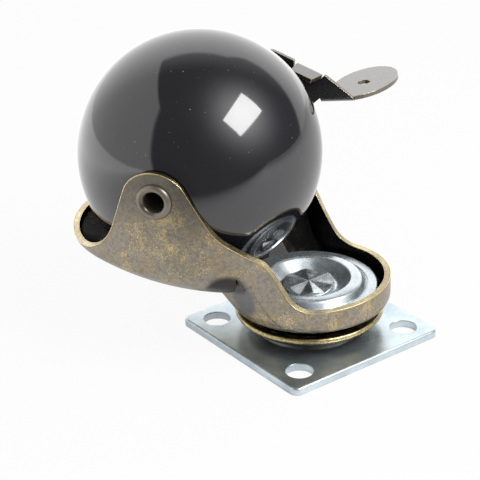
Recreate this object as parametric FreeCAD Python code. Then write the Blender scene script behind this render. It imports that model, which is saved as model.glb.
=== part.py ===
import FreeCAD, Part
import math
import os

from FreeCAD import Vector

# Ball castor with a brake, standing on its fixing plate with the ball up.
# Row frame: origin at the centre of the plate's mounting face, +Z along the swivel axis towards
# the ball, X and Y along the plate's sides.
# Fork frame: the same origin and Z, with X from the swivel axis to the ball and -Y on the brake
# side. Every piece that swivels is drawn there and turned about Z by SWIVEL_ANGLE.
# Lengths are in millimetres and angles in degrees.

# Overall
BALL_DIAMETER = 50.0
BALL_LEAD = 23.1
BALL_OVER_CUP = 5.025
SWIVEL_ANGLE = 33.6

# Clearances
RUNNING_CLEARANCE = 0.08
ROW_CLEARANCE = 0.1
SIDE_CLEARANCE = 0.4
BALL_CLEARANCE = 0.15
BELLY_CLEARANCE = 0.5
PIN_CLEARANCE = 0.3

# Fixing plate
PLATE_SIDE = 38.2
PLATE_THICKNESS = 1.6
PLATE_CORNER_RADIUS = 1.7
PLATE_EDGE_RADIUS = 0.45
SCREW_HOLE_DIAMETER = 5.7
SCREW_EDGE_DISTANCE = 5.3
BOSS_RADIUS = 10.2
BOSS_RISE = 1.8
BOSS_DRAFT = 1.0

# Kingpin
KINGPIN_RADIUS = 4.0
KINGPIN_NECK_RADIUS = 3.0
KINGPIN_FOOT_RADIUS = 6.4
KINGPIN_FOOT_THICKNESS = 1.5
STAR_RADIUS = 5.3
STAR_THICKNESS = 1.15
STAR_POINTS = 6
STAR_GROOVE_DEPTH = 0.85
STAR_EDGE_RADIUS = 0.3
KINGPIN_EDGE_RADIUS = 0.15

# Bearing pieces
PAN_THICKNESS = 1.2
PAN_RIM_RADIUS = 15.4
PAN_RIM_WIDTH = 1.4
PAN_RIM_RISE = 1.7
PAN_BEND_RADIUS = 0.4
PAN_EDGE_RADIUS = 0.5
LOWER_BALL_DIAMETER = 3.175
LOWER_BALL_COUNT = 20
UPPER_BALL_DIAMETER = 2.381
UPPER_BALL_COUNT = 22
UPPER_ROW_RADIUS = 9.7
DISC_THICKNESS = 0.9
DISC_RADIUS = 14.1
DISC_GROOVE_RADIUS = 12.0
DISC_DISH_RADIUS = 6.0
DISC_LIFT = 0.45
DISC_CREST_WIDTH = 2.1
DISC_FLANGE_RISE = 0.75
DISC_GROOVE_WIDTH = 0.45
DISC_GROOVE_DEPTH = 0.3
DISC_BEND_RADIUS = 1.2
DISC_EDGE_RADIUS = 0.2

# Hood
SHEET = 1.3
BOWL_STRETCH = 1.75
CUP_RADIUS = 16.8
CUP_CORNER_RADIUS = 1.8
NECK_RADIUS = 8.0
BELLY_RADIUS = 37.0
BELLY_PROFILE_RADIUS = 60.0
BELLY_LOW_POINT = -5.0
BELLY_CORNER_RADIUS = 3.0
SHOULDER_FORWARD = 8.84
SHOULDER_INSET = 4.33
SHOULDER_RISE = 9.85
KEEL_FORWARD = 13.3
KEEL_INSET = 9.3
NECK_TOUCH_ANGLE = 25.5
NECK_FACETS = 6

# Hood rim, seen from the side. Drops and falls are measured down from the axle, and the angles
# are above the horizontal.
LIP_DROP = 15.5
LIP_CURVE_RADIUS = 13.8
EAR_TOP = 6.0
EAR_RADIUS = 7.1
EAR_FRONT_ANGLE = 70.0
EAR_BACK_ANGLE = 62.0
SHOULDER_DROP = 7.4
SHOULDER_ANGLE = 41.0
SHOULDER_LENGTH = 10.7
SHOULDER_CURVE_RADIUS = 14.0
BROW_CURVE_RADIUS = 8.0
CUP_FALL_ANGLE = 60.0
CUP_FALL_CURVE_RADIUS = 6.0
CUP_WALL_HEIGHT = 4.975
CUP_RIM_SLOPE = 2.9

# Ball
BALL_FLAT_DEPTH = 1.5
BALL_FLAT_EDGE_RADIUS = 0.3

# Axle
AXLE_RADIUS = 2.6
AXLE_BORE_RADIUS = 2.05
AXLE_ROLL_RADIUS = 0.8

# Brake lever, seen from the side. Places are counted from the axle, forwards and up.
LEVER_THICKNESS = 0.9
LEVER_GAP = 0.3
PIVOT_FORWARD = -7.0
PIVOT_UP = -6.0
PIVOT_LOBE_RADIUS = 4.6
PIVOT_PIN_RADIUS = 1.8
PIVOT_HEAD_RADIUS = 3.0
PIVOT_HEAD_THICKNESS = 0.9
PIVOT_SINK_RADIUS = 2.5
PIVOT_SINK_DEPTH = 0.7
WASHER_RADIUS = 3.6
WASHER_PLAY = 0.05
ARM_FRONT = -6.7
ARM_TIP_FORWARD = -4.6
ARM_TIP_UP = 14.35
ARM_TIP_RADIUS = 1.8
ARM_WAIST_UP = 4.0
ARM_WAIST_RADIUS = 4.0
TOP_EDGE_ANGLE = 20.8
TONGUE_START = -12.9
TONGUE_SET_DOWN = 0.0
TONGUE_LENGTH = 5.9
TONGUE_REACH = 5.4
TONGUE_SKEW = 1.1
TONGUE_NOTCH = 0.8
GUSSET_BACK = -25.2
PEDAL_UP = 4.35
PEDAL_TILT = 8.0
PEDAL_FRONT = -18.0
PEDAL_CENTRE_X = -24.9
PEDAL_CENTRE_OUT = 9.5
PEDAL_LONG_RADIUS = 9.3
PEDAL_SHORT_RADIUS = 6.4
PEDAL_TURN = 14.0
PEDAL_HOLE_RADIUS = 1.4
PEDAL_HOLE_OUT = 8.8
BEND_RADIUS = 0.4

# Levels and places that follow from the sizes above
BALL_RADIUS = BALL_DIAMETER / 2
SCREW_HOLE_SPACING = PLATE_SIDE - SCREW_EDGE_DISTANCE * 2
BOSS_TOP = PLATE_THICKNESS + BOSS_RISE
PAN_FLOOR = BOSS_TOP + PAN_THICKNESS
LOWER_ROW_RADIUS = PAN_RIM_RADIUS - PAN_RIM_WIDTH - PAN_RIM_RISE / 2 - LOWER_BALL_DIAMETER / 2
LOWER_ROW_Z = PAN_FLOOR + ROW_CLEARANCE + LOWER_BALL_DIAMETER / 2
CUP_UNDERSIDE = LOWER_ROW_Z + LOWER_BALL_DIAMETER / 2 + ROW_CLEARANCE
CUP_FLOOR = CUP_UNDERSIDE + SHEET
AXLE_Z = CUP_UNDERSIDE + BALL_OVER_CUP + BALL_RADIUS
HEIGHT = AXLE_Z + BALL_RADIUS
UPPER_ROW_Z = CUP_FLOOR + ROW_CLEARANCE + UPPER_BALL_DIAMETER / 2
DISC_CREST = UPPER_ROW_Z + UPPER_BALL_DIAMETER / 2 + ROW_CLEARANCE + DISC_THICKNESS
DISC_SEAT = CUP_FLOOR + DISC_LIFT
DISH_FLOOR = DISC_SEAT + DISC_THICKNESS
BALL_FLAT = BALL_RADIUS - BALL_FLAT_DEPTH
EAR_INSIDE = BALL_FLAT + SIDE_CLEARANCE
HOOD_HALF_WIDTH = EAR_INSIDE + SHEET
LIP_REACH = HOOD_HALF_WIDTH + BOWL_STRETCH
BELLY_DEPTH = BALL_RADIUS + BELLY_CLEARANCE + SHEET
BELLY_LOW_Z = AXLE_Z - BELLY_DEPTH
BELLY_AXIS_Z = BELLY_LOW_Z + BELLY_RADIUS
CUP_RIM_DROP = AXLE_Z - CUP_UNDERSIDE - CUP_WALL_HEIGHT
LEVER_INSIDE = HOOD_HALF_WIDTH + LEVER_GAP
LEVER_OUTSIDE = LEVER_INSIDE + LEVER_THICKNESS
OVER_ALL = HEIGHT * 1.2
AXLE_TIP = HOOD_HALF_WIDTH + AXLE_ROLL_RADIUS * 2

Z_AXIS = Vector(0, 0, 1)
Y_AXIS = Vector(0, 1, 0)
X_AXIS = Vector(1, 0, 0)


def rounded_path(corners, closed=False):
    """Edges through corners given as (point, rounding radius), with tangent arcs at the corners."""
    points = [point for point, _ in corners]
    radii = [radius for _, radius in corners]
    count = len(points)
    entries = []
    exits = []
    middles = []
    for i in range(count):
        is_end = not closed and i in (0, count - 1)
        if is_end or radii[i] == 0:
            entries.append(points[i])
            exits.append(points[i])
            middles.append(None)
            continue
        back = (points[i - 1] - points[i]).normalize()
        ahead = (points[(i + 1) % count] - points[i]).normalize()
        half = back.getAngle(ahead) / 2
        reach = radii[i] / math.tan(half)
        bisector = (back + ahead).normalize()
        entries.append(points[i] + back * reach)
        exits.append(points[i] + ahead * reach)
        middles.append(points[i] + bisector * (radii[i] / math.sin(half) - radii[i]))
    edges = []
    for i in range(count):
        if middles[i] is not None:
            edges.append(Part.Arc(entries[i], middles[i], exits[i]).toShape())
        if i == count - 1 and not closed:
            break
        start = exits[i]
        end = entries[(i + 1) % count]
        if start.distanceToPoint(end) > 1e-6:
            edges.append(Part.LineSegment(start, end).toShape())
    return edges


def flat_face(corners):
    """Face bounded by a closed rounded outline."""
    return Part.Face(Part.Wire(Part.sortEdges(rounded_path(corners, closed=True))[0]))


def revolve_profile(corners):
    """Solid turned about Z from a closed outline of (radius, height, rounding radius)."""
    face = flat_face([(Vector(r, 0, z), rounding) for r, z, rounding in corners])
    return face.revolve(Vector(0, 0, 0), Z_AXIS, 360)


def disc(radius, bottom, top):
    """Plain cylinder about Z between two heights."""
    return Part.makeCylinder(radius, top - bottom, Vector(0, 0, bottom))


def cross_pin(radius, start, end, forward=0.0, up=0.0):
    """Cylinder along Y, placed from the axle, between two distances along Y."""
    origin = Vector(BALL_LEAD + forward, start, AXLE_Z + up)
    return Part.makeCylinder(radius, end - start, origin, Y_AXIS)


def side_point(forward, up, y=0.0):
    """Point of the fork frame, counted from the axle."""
    return Vector(BALL_LEAD + forward, y, AXLE_Z + up)


def plate_outline(half, corner):
    """Square face with rounded corners, centred on the origin."""
    signs = [(1, 1), (-1, 1), (-1, -1), (1, -1)]
    return flat_face([(Vector(sx * half, sy * half, 0), corner) for sx, sy in signs])


def mounting_plate():
    """Square pressed plate with four screw holes and a raised boss round the kingpin."""
    plate = plate_outline(PLATE_SIDE / 2, PLATE_CORNER_RADIUS).extrude(Z_AXIS * PLATE_THICKNESS)
    top_edges = [edge for edge in plate.Edges if edge.BoundBox.ZMin > PLATE_THICKNESS - 1e-6]
    plate = plate.makeFillet(PLATE_EDGE_RADIUS, top_edges)
    foot = BOSS_RADIUS + BOSS_DRAFT
    wall = PLATE_THICKNESS
    boss = Part.makeCone(foot, BOSS_RADIUS, BOSS_RISE, Vector(0, 0, PLATE_THICKNESS))
    recess = Part.makeCone(foot - wall, BOSS_RADIUS - wall, BOSS_RISE)
    plate = plate.fuse(boss).cut(recess)
    plate = plate.cut(disc(KINGPIN_RADIUS + RUNNING_CLEARANCE, 0, BOSS_TOP))
    half = SCREW_HOLE_SPACING / 2
    for sx in (-1, 1):
        for sy in (-1, 1):
            centre = Vector(sx * half, sy * half, 0)
            plate = plate.cut(Part.makeCylinder(SCREW_HOLE_DIAMETER / 2, PLATE_THICKNESS, centre))
    return plate.removeSplitter()


def race_pan():
    """Dished ring on the boss that carries the lower row of bearing balls."""
    bore = KINGPIN_RADIUS + RUNNING_CLEARANCE
    rim = PAN_RIM_RADIUS
    slope_end = rim - PAN_RIM_WIDTH
    foot = slope_end - PAN_RIM_RISE / 2
    low = BOSS_TOP
    high = low + PAN_RIM_RISE
    lean = PAN_THICKNESS * math.tan(math.radians(22.5))
    return revolve_profile([
        (bore, low, 0),
        (foot, low, PAN_BEND_RADIUS * 2),
        (slope_end, high, PAN_BEND_RADIUS),
        (rim, high, PAN_EDGE_RADIUS),
        (rim, high + PAN_THICKNESS, PAN_EDGE_RADIUS),
        (slope_end - lean, high + PAN_THICKNESS, PAN_BEND_RADIUS * 2),
        (foot - lean, low + PAN_THICKNESS, PAN_BEND_RADIUS),
        (bore, low + PAN_THICKNESS, 0),
    ])


def ball_row(count, diameter, row_radius, height):
    """Ring of loose steel balls, as one group of separate solids."""
    balls = []
    for i in range(count):
        angle = 2 * math.pi * i / count
        centre = Vector(row_radius * math.cos(angle), row_radius * math.sin(angle), height)
        balls.append(Part.makeSphere(diameter / 2, centre))
    return Part.makeCompound(balls)


def bearing_disc():
    """Domed zinc-plated disc over the upper row, with a step round the dome and a dished middle."""
    t = DISC_THICKNESS
    bore = KINGPIN_NECK_RADIUS
    dish = DISC_DISH_RADIUS
    inner_crest = UPPER_ROW_RADIUS - DISC_CREST_WIDTH / 2
    outer_crest = UPPER_ROW_RADIUS + DISC_CREST_WIDTH / 2
    groove = DISC_GROOVE_RADIUS
    flange_top = DISH_FLOOR + DISC_FLANGE_RISE
    groove_floor = flange_top - DISC_GROOVE_DEPTH
    under_bend = DISC_BEND_RADIUS / 2
    return revolve_profile([
        (bore, DISC_SEAT, 0),
        (dish + DISC_EDGE_RADIUS, DISC_SEAT, under_bend),
        (inner_crest, DISC_CREST - t, under_bend),
        (outer_crest - DISC_EDGE_RADIUS, DISC_CREST - t, under_bend),
        (groove - DISC_GROOVE_DEPTH, flange_top - t, under_bend),
        (DISC_RADIUS, flange_top - t, DISC_EDGE_RADIUS),
        (DISC_RADIUS, flange_top, DISC_EDGE_RADIUS),
        (groove + DISC_GROOVE_WIDTH / 2, flange_top, DISC_GROOVE_WIDTH / 4),
        (groove, groove_floor, 0),
        (groove - DISC_GROOVE_WIDTH / 2, groove_floor + DISC_GROOVE_DEPTH / 2, 0),
        (outer_crest, DISC_CREST, DISC_BEND_RADIUS),
        (inner_crest, DISC_CREST, DISC_BEND_RADIUS),
        (dish, DISH_FLOOR, DISC_BEND_RADIUS * 0.75),
        (bore, DISH_FLOOR, 0),
    ])


def star_groove(angle):
    """Wedge that cuts one valley of the staked star, deeper towards the rim."""
    top = DISH_FLOOR + STAR_THICKNESS
    reach = STAR_RADIUS * 1.2
    half = math.pi / STAR_POINTS
    depth = STAR_GROOVE_DEPTH * reach / STAR_RADIUS
    ridge = reach / math.cos(half)

    def at(turn, radius, z):
        return Vector(radius * math.cos(angle + turn), radius * math.sin(angle + turn), z)

    centre = Vector(0, 0, top)
    left = at(half, ridge, top)
    right = at(-half, ridge, top)
    valley = at(0, reach, top - depth)
    faces = []
    loops = ((centre, left, right), (centre, right, valley), (centre, valley, left), (left, valley, right))
    for loop in loops:
        faces.append(Part.Face(Part.makePolygon(list(loop) + [loop[0]])))
    return Part.makeSolid(Part.makeShell(faces))


def kingpin():
    """Rivet that holds plate, pan and disc together, its end staked to a star."""
    top = DISH_FLOOR + STAR_THICKNESS
    foot_bottom = BOSS_RISE - KINGPIN_FOOT_THICKNESS
    pin = revolve_profile([
        (0, foot_bottom, 0),
        (KINGPIN_FOOT_RADIUS, foot_bottom, KINGPIN_EDGE_RADIUS * 2),
        (KINGPIN_FOOT_RADIUS, BOSS_RISE, KINGPIN_EDGE_RADIUS),
        (KINGPIN_RADIUS, BOSS_RISE, 0),
        (KINGPIN_RADIUS, DISC_SEAT, 0),
        (KINGPIN_NECK_RADIUS, DISC_SEAT, 0),
        (KINGPIN_NECK_RADIUS, DISH_FLOOR, 0),
        (STAR_RADIUS, DISH_FLOOR, KINGPIN_EDGE_RADIUS),
        (STAR_RADIUS, top, STAR_EDGE_RADIUS),
        (0, top, 0),
    ])
    for i in range(STAR_POINTS):
        pin = pin.cut(star_groove(2 * math.pi * i / STAR_POINTS))
    return pin


def bowl_outline(inset):
    """Plan face of the hood round the ball, with the concave necks that join it to the cup."""
    radius = HOOD_HALF_WIDTH - inset
    shift = LIP_REACH - HOOD_HALF_WIDTH
    cup = CUP_RADIUS - inset
    neck = NECK_RADIUS + inset
    back = Vector(BALL_LEAD - shift, 0, 0)
    front = Vector(BALL_LEAD + shift, 0, 0)
    to_cup = cup + neck
    to_bowl = radius + neck
    neck_x = (to_cup ** 2 - to_bowl ** 2 + back.x ** 2) / (2 * back.x)
    neck_y = math.sqrt(to_cup ** 2 - neck_x ** 2)

    def neck_arc(side):
        centre = Vector(neck_x, side * neck_y, 0)
        on_cup = centre * (cup / to_cup)
        on_bowl = back + (centre - back) * (radius / to_bowl)
        middle = centre + ((on_cup + on_bowl) * 0.5 - centre).normalize() * neck
        return on_cup, middle, on_bowl

    def bowl_arc(centre, start, end):
        middle = centre + ((start + end) * 0.5 - centre).normalize() * radius
        return Part.Arc(start, middle, end).toShape()

    near_cup, near_middle, near_bowl = neck_arc(1)
    far_cup, far_middle, far_bowl = neck_arc(-1)
    near_back = back + Y_AXIS * radius
    near_front = front + Y_AXIS * radius
    far_back = back - Y_AXIS * radius
    far_front = front - Y_AXIS * radius
    edges = [
        Part.Arc(near_cup, near_middle, near_bowl).toShape(),
        bowl_arc(back, near_bowl, near_back),
        Part.LineSegment(near_back, near_front).toShape(),
        Part.Arc(near_front, front + X_AXIS * radius, far_front).toShape(),
        Part.LineSegment(far_front, far_back).toShape(),
        bowl_arc(back, far_back, far_bowl),
        Part.Arc(far_bowl, far_middle, far_cup).toShape(),
        Part.LineSegment(far_cup, near_cup).toShape(),
    ]
    return Part.Face(Part.Wire(edges))


def belly_centre_z():
    """Height of the centre of the arc that the belly follows from lip to neck."""
    return BELLY_LOW_Z + BELLY_PROFILE_RADIUS


def belly(inset):
    """Barrel lying along X over the ball's track, which gives the hood its underside."""
    radius = BELLY_PROFILE_RADIUS - inset
    low_x = BALL_LEAD + BELLY_LOW_POINT
    back_x = -CUP_RADIUS / 2
    front_x = BALL_LEAD + LIP_REACH + SHEET

    def on_arc(x):
        return Vector(x, 0, belly_centre_z() - math.sqrt(radius ** 2 - (x - low_x) ** 2))

    start = on_arc(back_x)
    end = on_arc(front_x)
    edges = [
        Part.LineSegment(Vector(back_x, 0, BELLY_AXIS_Z), start).toShape(),
        Part.Arc(start, on_arc(low_x), end).toShape(),
        Part.LineSegment(end, Vector(front_x, 0, BELLY_AXIS_Z)).toShape(),
        Part.LineSegment(Vector(front_x, 0, BELLY_AXIS_Z), Vector(back_x, 0, BELLY_AXIS_Z)).toShape(),
    ]
    face = Part.Face(Part.Wire(edges))
    return face.revolve(Vector(0, 0, BELLY_AXIS_Z), X_AXIS, 360)


def belly_point(x, y, inset):
    """Point of the belly's underside over a place in plan."""
    radius = BELLY_PROFILE_RADIUS - inset
    rise = belly_centre_z() - math.sqrt(radius ** 2 - (x - BALL_LEAD - BELLY_LOW_POINT) ** 2)
    turned = BELLY_AXIS_Z - rise
    return Vector(x, y, BELLY_AXIS_Z - math.sqrt(turned ** 2 - y ** 2))


class Neck:
    """Flat facets and cones of the drawn sheet that run from the belly to the cup's lower edge."""

    def __init__(self, inset):
        fillet = CUP_CORNER_RADIUS - inset
        touch = math.radians(NECK_TOUCH_ANGLE)
        self.radius = CUP_RADIUS - CUP_CORNER_RADIUS + fillet * math.cos(touch)
        self.base_z = CUP_UNDERSIDE + CUP_CORNER_RADIUS - fillet * math.sin(touch)
        shoulder = Vector(SHOULDER_FORWARD, HOOD_HALF_WIDTH - SHOULDER_INSET, BELLY_LOW_Z + SHOULDER_RISE)
        keel = belly_point(KEEL_FORWARD, HOOD_HALF_WIDTH - KEEL_INSET, 0)
        outward = self.facet_normal(shoulder, keel, CUP_RADIUS)
        self.shoulder = shoulder - outward * inset
        self.keel = belly_point(keel.x - outward.x * inset, keel.y - outward.y * inset, inset)

    def touch_point(self, shoulder, keel, radius):
        """Point of the cup's edge at which the facet through shoulder and keel is tangent to it."""
        share = (shoulder.z - self.base_z) / (shoulder.z - keel.z)
        meeting = shoulder + (keel - shoulder) * share
        reach = math.hypot(meeting.x, meeting.y)
        turn = math.atan2(meeting.y, meeting.x) + math.acos(radius / reach)
        return Vector(radius * math.cos(turn), radius * math.sin(turn), self.base_z)

    def facet_normal(self, shoulder, keel, radius):
        """Outward direction of the facet."""
        touch = self.touch_point(shoulder, keel, radius)
        return (keel - shoulder).cross(touch - shoulder).normalize()

    def edge_point(self, turn):
        """Point of the cup's edge at an angle from the X axis."""
        return Vector(self.radius * math.cos(turn), self.radius * math.sin(turn), self.base_z)

    def tangent_turn(self, corner, side):
        """Angle at which a line from a corner touches the cup's edge in plan."""
        reach = math.hypot(corner.x, corner.y)
        return math.atan2(corner.y, corner.x) + side * math.acos(self.radius / reach)

    def web(self):
        """Solid over a fan of narrow facets from each corner to the cup's edge, on the +Y side."""
        base = Vector(0, 0, self.base_z)
        touch = self.touch_point(self.shoulder, self.keel, self.radius)
        middle = math.atan2(touch.y, touch.x)
        start = self.tangent_turn(self.keel, -1)
        end = self.tangent_turn(self.shoulder, 1)
        edge = [self.edge_point(start + (middle - start) * i / NECK_FACETS) for i in range(NECK_FACETS)]
        edge += [self.edge_point(middle + (end - middle) * i / NECK_FACETS) for i in range(NECK_FACETS)]
        edge.append(self.edge_point(end))
        loops = [(self.keel, edge[NECK_FACETS], self.shoulder)]
        for i in range(NECK_FACETS * 2):
            corner = self.keel if i < NECK_FACETS else self.shoulder
            loops.append((corner, edge[i], edge[i + 1]))
            loops.append((base, edge[i + 1], edge[i]))
        border = [base, edge[0], self.keel, self.shoulder, edge[-1]]
        lid = [Vector(corner.x, corner.y, AXLE_Z) for corner in border]
        loops.append(lid)
        for i in range(len(border)):
            following = (i + 1) % len(border)
            loops.append((border[i], border[following], lid[following], lid[i]))
        faces = [Part.Face(Part.makePolygon(list(loop) + [loop[0]])) for loop in loops]
        return Part.makeSolid(Part.makeShell(faces))

    def trimmer(self):
        """Block under the facet that takes the belly's excess away behind its two corners."""
        touch = self.touch_point(self.shoulder, self.keel, self.radius)
        along = (self.keel - self.shoulder).normalize()
        away = touch - self.shoulder
        away = (away - along * away.dot(along)).normalize()
        far = BALL_DIAMETER
        top = self.shoulder - along * far
        low = self.keel
        loop = [top, low, low + away * far, top + away * far, top]
        return Part.Face(Part.makePolygon(loop)).extrude(Z_AXIS * -far)


def hood_form(inset):
    """Closed form of the hood, drawn in from the outside by inset."""
    outline = bowl_outline(inset).extrude(Z_AXIS * OVER_ALL)
    bowl = outline.common(belly(inset))
    crease = []
    for edge in bowl.Edges:
        box = edge.BoundBox
        on_keel_line = max(abs(box.YMin), abs(box.YMax)) < RUNNING_CLEARANCE
        if box.ZMax < AXLE_Z and box.XLength > RUNNING_CLEARANCE and not on_keel_line:
            crease.append(edge)
    bowl = bowl.makeFillet(BELLY_CORNER_RADIUS - inset, crease)
    cup = disc(CUP_RADIUS - inset, CUP_UNDERSIDE + inset, AXLE_Z)
    rim = [edge for edge in cup.Edges if edge.BoundBox.ZMax < CUP_UNDERSIDE + inset + 1e-6]
    cup = cup.makeFillet(CUP_CORNER_RADIUS - inset, rim)
    neck = Neck(inset)
    inside = outline.fuse(disc(CUP_RADIUS - inset, 0, AXLE_Z))
    trimmer = neck.trimmer()
    web = neck.web().common(inside)
    form = bowl.cut([trimmer, trimmer.mirror(Vector(0, 0, 0), Y_AXIS)])
    return form.fuse([cup, web, web.mirror(Vector(0, 0, 0), Y_AXIS)])


def rim_cutter():
    """Block over the hood's rim: what is left under it has the rim's side outline."""
    front_x = LIP_REACH * 1.5
    back_x = -(BALL_LEAD + CUP_RADIUS * 1.5)
    tan_front = math.tan(math.radians(EAR_FRONT_ANGLE))
    tan_back = math.tan(math.radians(EAR_BACK_ANGLE))
    shoulder = math.radians(SHOULDER_ANGLE)
    lean = math.radians(EAR_FRONT_ANGLE - EAR_BACK_ANGLE) / 2
    half_tip = math.radians(180 - EAR_FRONT_ANGLE - EAR_BACK_ANGLE) / 2
    tip_reach = EAR_RADIUS / math.sin(half_tip)
    ear_tip_x = math.sin(lean) * tip_reach
    ear_tip_up = EAR_TOP - EAR_RADIUS + math.cos(lean) * tip_reach
    lip_x = ear_tip_x + (ear_tip_up + LIP_DROP) / tan_front
    shoulder_x = ear_tip_x - (ear_tip_up + SHOULDER_DROP) / tan_back
    brow_x = shoulder_x - SHOULDER_LENGTH * math.cos(shoulder)
    brow_drop = SHOULDER_DROP + SHOULDER_LENGTH * math.sin(shoulder)
    fall_x = brow_x - (CUP_RIM_DROP - brow_drop) / math.tan(math.radians(CUP_FALL_ANGLE))
    back_drop = CUP_RIM_DROP - (fall_x - back_x) * math.tan(math.radians(CUP_RIM_SLOPE))
    side = LIP_REACH * 2
    corners = [
        (side_point(front_x, -LIP_DROP, side), 0),
        (side_point(lip_x, -LIP_DROP, side), LIP_CURVE_RADIUS),
        (side_point(ear_tip_x, ear_tip_up, side), EAR_RADIUS),
        (side_point(shoulder_x, -SHOULDER_DROP, side), SHOULDER_CURVE_RADIUS),
        (side_point(brow_x, -brow_drop, side), BROW_CURVE_RADIUS),
        (side_point(fall_x, -CUP_RIM_DROP, side), CUP_FALL_CURVE_RADIUS),
        (side_point(back_x, -back_drop, side), 0),
    ]
    edges = rounded_path(corners)
    top = OVER_ALL - AXLE_Z
    loop = [corners[-1][0], side_point(back_x, top, side), side_point(front_x, top, side), corners[0][0]]
    for start, end in zip(loop, loop[1:]):
        edges.append(Part.LineSegment(start, end).toShape())
    face = Part.Face(Part.Wire(Part.sortEdges(edges)[0]))
    return face.extrude(Y_AXIS * (-2 * side))


def hood():
    """Deep-drawn hood: one sheet that forms the swivel cup, the neck and the bowl with two ears."""
    shell = hood_form(0).cut(hood_form(SHEET)).cut(rim_cutter())
    shell = shell.cut(disc(KINGPIN_RADIUS + PIN_CLEARANCE, 0, CUP_FLOOR + 0.1))
    shell = shell.cut(Part.makeSphere(BALL_RADIUS + BALL_CLEARANCE, side_point(0, 0)))
    shell = shell.cut(cross_pin(AXLE_RADIUS, -AXLE_TIP, AXLE_TIP))
    sink_start = -EAR_INSIDE - PIVOT_SINK_DEPTH
    pin_hole = cross_pin(PIVOT_PIN_RADIUS, -AXLE_TIP, -EAR_INSIDE, PIVOT_FORWARD, PIVOT_UP)
    sink = Part.makeCone(PIVOT_PIN_RADIUS, PIVOT_SINK_RADIUS, PIVOT_SINK_DEPTH,
                         side_point(PIVOT_FORWARD, PIVOT_UP, sink_start), Y_AXIS)
    return shell.cut(pin_hole).cut(sink)


def ball_wheel():
    """Ball with two small flats at the ears and a bore for the axle."""
    ball = Part.makeSphere(BALL_RADIUS)
    ball.rotate(Vector(0, 0, 0), X_AXIS, 90)
    ball.translate(side_point(0, 0))
    slab = Part.makeBox(BALL_DIAMETER * 2, BALL_FLAT * 2, BALL_DIAMETER * 2,
                        Vector(BALL_LEAD - BALL_DIAMETER, -BALL_FLAT, AXLE_Z - BALL_DIAMETER))
    ball = ball.common(slab)
    flat_edges = [edge for edge in ball.Edges if edge.BoundBox.YLength < 1e-6]
    ball = ball.makeFillet(BALL_FLAT_EDGE_RADIUS, flat_edges)
    return ball.cut(cross_pin(AXLE_RADIUS + RUNNING_CLEARANCE, -BALL_RADIUS, BALL_RADIUS))


def axle_rivet():
    """Tubular rivet through both ears, each end rolled over to a ring."""
    roll = AXLE_ROLL_RADIUS
    ring = AXLE_BORE_RADIUS + roll
    face_y = HOOD_HALF_WIDTH
    tube = cross_pin(AXLE_RADIUS, -face_y, face_y)
    for side in (-1, 1):
        centre = Vector(BALL_LEAD, side * face_y, AXLE_Z)
        torus = Part.makeTorus(ring, roll, centre, Y_AXIS * side)
        outer = Part.makeCylinder(ring + roll + 1, roll + 1, centre, Y_AXIS * side)
        tube = tube.fuse(torus.common(outer))
    return tube.cut(cross_pin(AXLE_BORE_RADIUS, -AXLE_TIP, AXLE_TIP))


def folded_strip(length, leg, reach):
    """Strip along X, folded from a leg that hangs down to a flange that goes out towards +Y."""
    t = LEVER_THICKNESS
    face = flat_face([
        (Vector(0, 0, -leg), 0),
        (Vector(0, 0, 0), t + BEND_RADIUS),
        (Vector(0, reach, 0), 0),
        (Vector(0, reach, -t), 0),
        (Vector(0, t, -t), BEND_RADIUS),
        (Vector(0, t, -leg), 0),
    ])
    return face.extrude(X_AXIS * length)


def lever_top(forward):
    """Height of the arm's top edge over the axle."""
    return ARM_TIP_UP + (forward - ARM_TIP_FORWARD) * math.tan(math.radians(TOP_EDGE_ANGLE))


def tongue_top(forward):
    """Height of the tongue's fold over the axle."""
    return lever_top(forward) - TONGUE_SET_DOWN


def pedal_top(forward):
    """Height of the pedal's upper face over the axle."""
    return PEDAL_UP - (forward - GUSSET_BACK) * math.tan(math.radians(PEDAL_TILT))


def tongue():
    """Strip of the web's top edge, bent in over the ball, with a slanted rear end."""
    slope = math.radians(TOP_EDGE_ANGLE)
    strip = folded_strip(TONGUE_LENGTH, (LEVER_THICKNESS + BEND_RADIUS) * 2, TONGUE_REACH)
    slant = flat_face([
        (Vector(0, LEVER_THICKNESS + BEND_RADIUS, 0), 0),
        (Vector(TONGUE_SKEW, TONGUE_REACH, 0), 0),
        (Vector(0, TONGUE_REACH, 0), 0),
    ])
    strip = strip.cut(slant.extrude(Z_AXIS * -LEVER_THICKNESS))
    strip.rotate(Vector(0, 0, 0), Y_AXIS, -TOP_EDGE_ANGLE)
    back = TONGUE_START - TONGUE_LENGTH * math.cos(slope)
    strip.translate(side_point(back, tongue_top(back), -LEVER_OUTSIDE))
    return strip


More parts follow.
